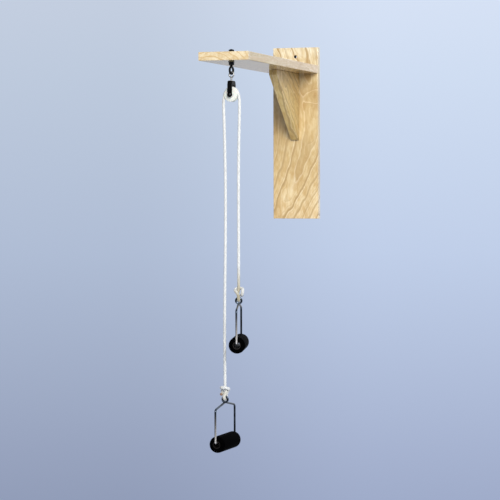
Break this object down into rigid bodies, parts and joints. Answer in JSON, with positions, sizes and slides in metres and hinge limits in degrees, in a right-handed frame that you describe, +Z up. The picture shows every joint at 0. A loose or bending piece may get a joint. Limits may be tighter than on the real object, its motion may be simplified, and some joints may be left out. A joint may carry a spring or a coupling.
{
  "type": "overhead exercise pulley",
  "caption": "Overhead exercise pulley: wooden wall bracket with arm and gusset, swivel pulley block on an eye bolt, rope over its sheave, knotted to stirrup handles.",
  "frame": {"origin": "middle of the backboard's back face, where the bracket meets the wall", "axes": "+Y into the wall, square to the backboard's back face, +X along the wall to the right as seen from the room, +Z up"},
  "size_m": [0.1142, 0.5801, 0.9213],
  "materials": {
    "board_wood": "planed pine under thin clear varnish",
    "zinc_steel": "zinc plated",
    "dark_steel": "dull dark zinc",
    "block_enamel": "black enamel on a casting",
    "sheave_nylon": "moulded nylon, semi gloss",
    "rope_braid": "white braided rope",
    "bright_wire": "bright plated steel wire",
    "grip_foam": "black closed-cell foam with a moulded skin",
    "core_plastic": "matt"
  },
  "bodies": {
    "bracket": {"backboard": "board_wood", "arm_board": "board_wood", "gusset": "board_wood", "arm_screw_left": "zinc_steel", "arm_screw_right": "zinc_steel", "gusset_screw_upper": "zinc_steel", "gusset_screw_lower": "zinc_steel", "top_screw_back": "zinc_steel", "top_screw_front": "zinc_steel", "eye_bolt": "dark_steel", "top_washer": "dark_steel", "top_nut": "dark_steel", "lower_washer": "dark_steel", "lower_nut": "dark_steel"},
    "swivel": {"swivel_eye": "zinc_steel"},
    "pulley_block": {"pulley_housing": "block_enamel", "sheave_axle": "dark_steel", "rope_over_sheave": "rope_braid"},
    "sheave_wheel": {"sheave": "sheave_nylon"},
    "left_rope": {"left_rope_fall": "rope_braid"},
    "right_rope": {"right_rope_fall": "rope_braid"},
    "left_rope_knot": {"left_knot": "rope_braid"},
    "right_rope_knot": {"right_knot": "rope_braid"},
    "left_handle": {"left_stirrup": "bright_wire"},
    "right_handle": {"right_stirrup": "bright_wire"},
    "left_grip_roller": {"left_grip": "grip_foam", "left_grip_core": "core_plastic"},
    "right_grip_roller": {"right_grip": "grip_foam", "right_grip_core": "core_plastic"}
  },
  "joints": [
    {"name": "pulley_swing", "type": "hinge", "parent": "bracket", "child": "swivel", "pos_m": [0, -0.52215, 0.12375], "axis": [0.9781, -0.2079, 0], "range_deg": [-35, 15]},
    {"name": "pulley_swivel", "type": "hinge", "parent": "swivel", "child": "pulley_block", "pos_m": [0, -0.52215, 0.1], "axis": [0, 0, 1], "continuous": true},
    {"name": "sheave_spin", "type": "hinge", "parent": "pulley_block", "child": "sheave_wheel", "pos_m": [0, -0.52215, 0.07375], "axis": [0, 1, 0], "continuous": true},
    {"name": "left_rope_travel", "type": "slide", "parent": "pulley_block", "child": "left_rope", "axis": [0, 0, 1], "range_m": [-0.36, 0.03], "deforming": ["left_rope_fall"]},
    {"name": "right_rope_travel", "type": "slide", "parent": "pulley_block", "child": "right_rope", "axis": [0, 0, 1], "range_m": [-0.03, 0.36], "deforming": ["right_rope_fall"]},
    {"name": "left_handle_twist", "type": "hinge", "parent": "left_rope", "child": "left_rope_knot", "pos_m": [-0.0173, -0.52215, -0.567], "axis": [0, 0, 1], "range_deg": [-180, 180]},
    {"name": "right_handle_twist", "type": "hinge", "parent": "right_rope", "child": "right_rope_knot", "pos_m": [0.0152, -0.52215, -0.3475], "axis": [0, 0, 1], "range_deg": [-57, 32]},
    {"name": "left_handle_tilt", "type": "hinge", "parent": "left_rope_knot", "child": "left_handle", "pos_m": [-0.0173, -0.52215, -0.5986], "axis": [0.0698, 0.9976, 0], "range_deg": [-60, 60]},
    {"name": "right_handle_tilt", "type": "hinge", "parent": "right_rope_knot", "child": "right_handle", "pos_m": [0.0152, -0.52215, -0.3791], "axis": [0.2164, -0.9763, 0], "range_deg": [-4, 60]},
    {"name": "left_grip_roll", "type": "hinge", "parent": "left_handle", "child": "left_grip_roller", "pos_m": [-0.0173, -0.52215, -0.6936], "axis": [0.0698, 0.9976, 0], "continuous": true},
    {"name": "right_grip_roll", "type": "hinge", "parent": "right_handle", "child": "right_grip_roller", "pos_m": [0.0152, -0.52215, -0.4741], "axis": [-0.2164, 0.9763, 0], "continuous": true}
  ],
  "couplings": [
    {"joint": "right_rope_travel", "follows": "left_rope_travel", "ratio": -1},
    {"joint": "sheave_spin", "follows": "left_rope_travel", "rad_per_m": 66.667}
  ]
}
